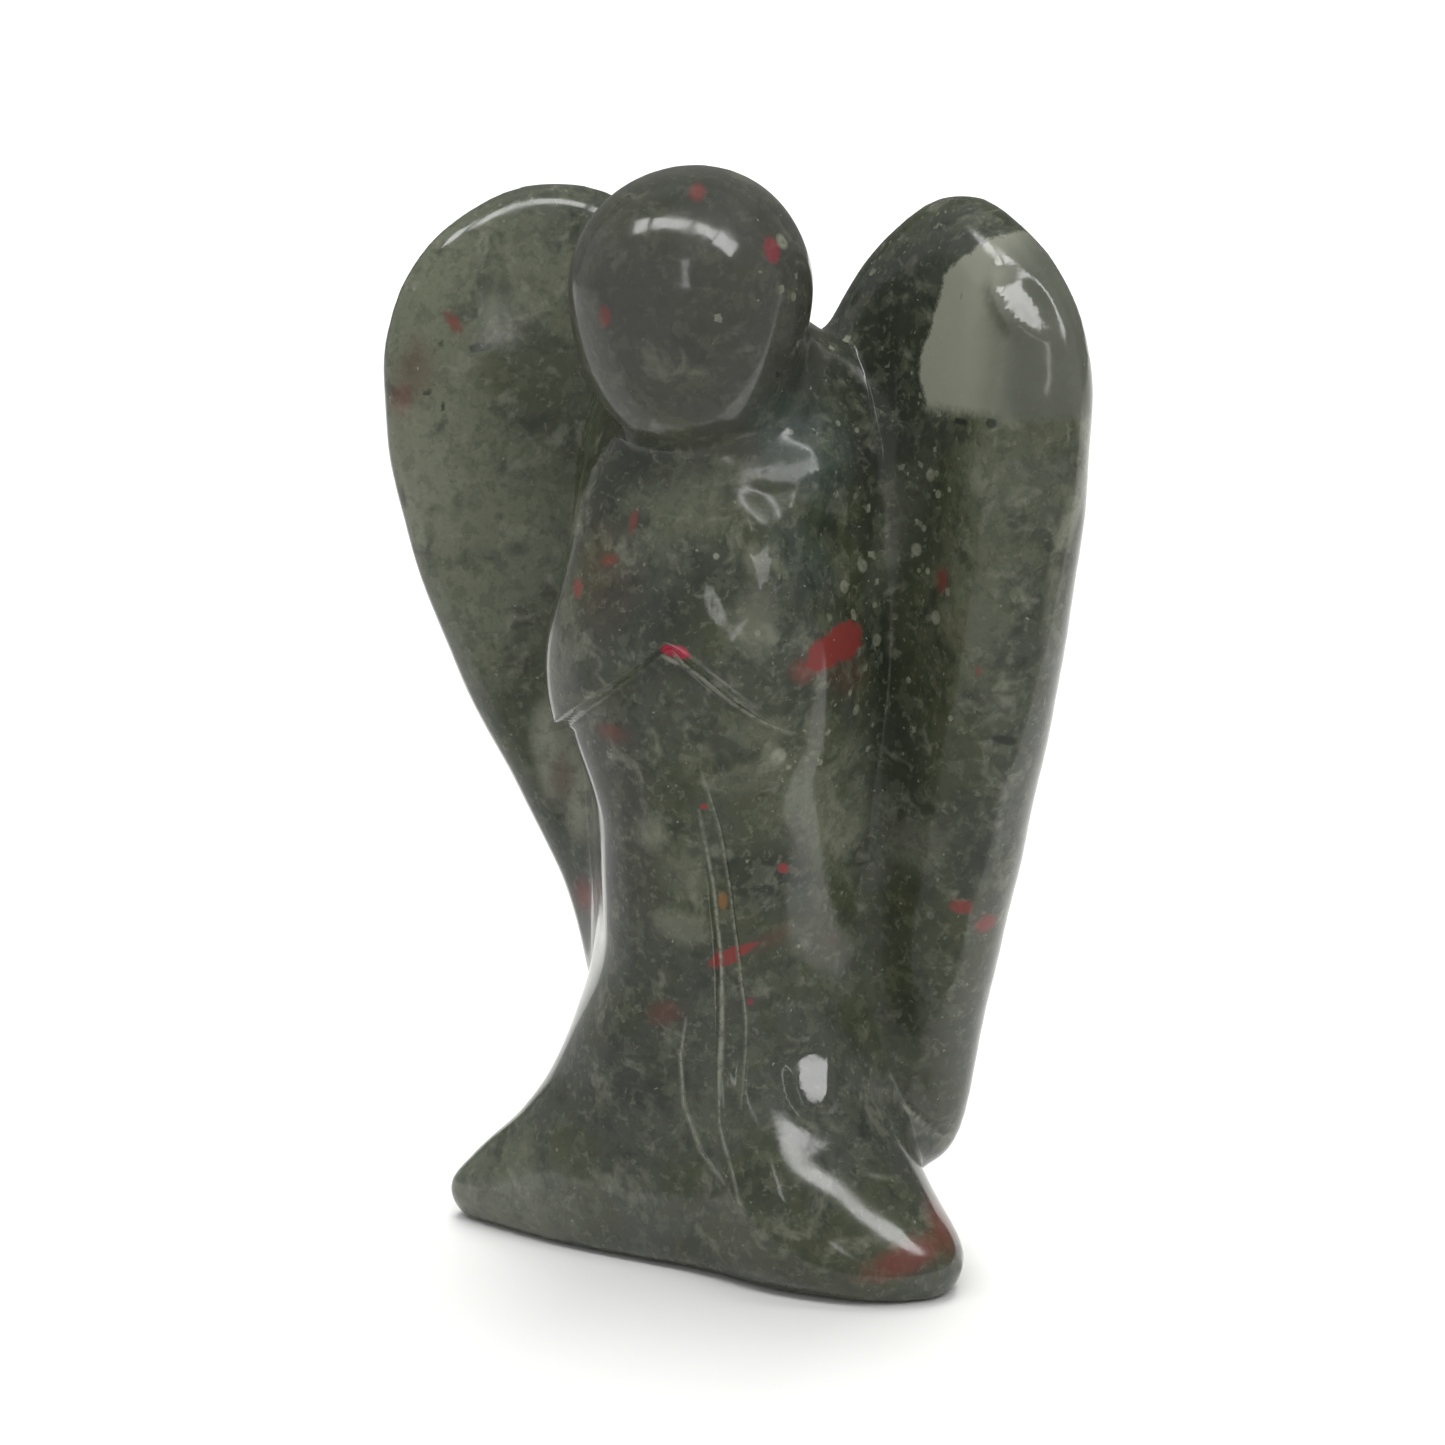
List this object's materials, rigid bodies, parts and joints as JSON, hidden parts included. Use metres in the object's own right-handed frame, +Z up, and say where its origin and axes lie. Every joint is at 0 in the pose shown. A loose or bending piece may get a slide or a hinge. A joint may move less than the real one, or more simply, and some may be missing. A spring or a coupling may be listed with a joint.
{
  "type": "carved stone angel figurine",
  "caption": "Standing angel carved from one piece of polished dark green stone: plain egg head, arms folded in prayer, flared robe on a flat base, teardrop wings.",
  "frame": {"origin": "middle of the carving's box, on the flat underside of the base", "axes": "+Z up along the figure, -Y the way the figure looks, +X to the right of a viewer who faces it"},
  "size_m": [0.034, 0.0162, 0.05],
  "materials": {
    "bloodstone": "hand polished to a high gloss, dark grey-green with small red spots"
  },
  "bodies": {
    "root": {"angel_carving": "bloodstone"}
  },
  "joints": []
}
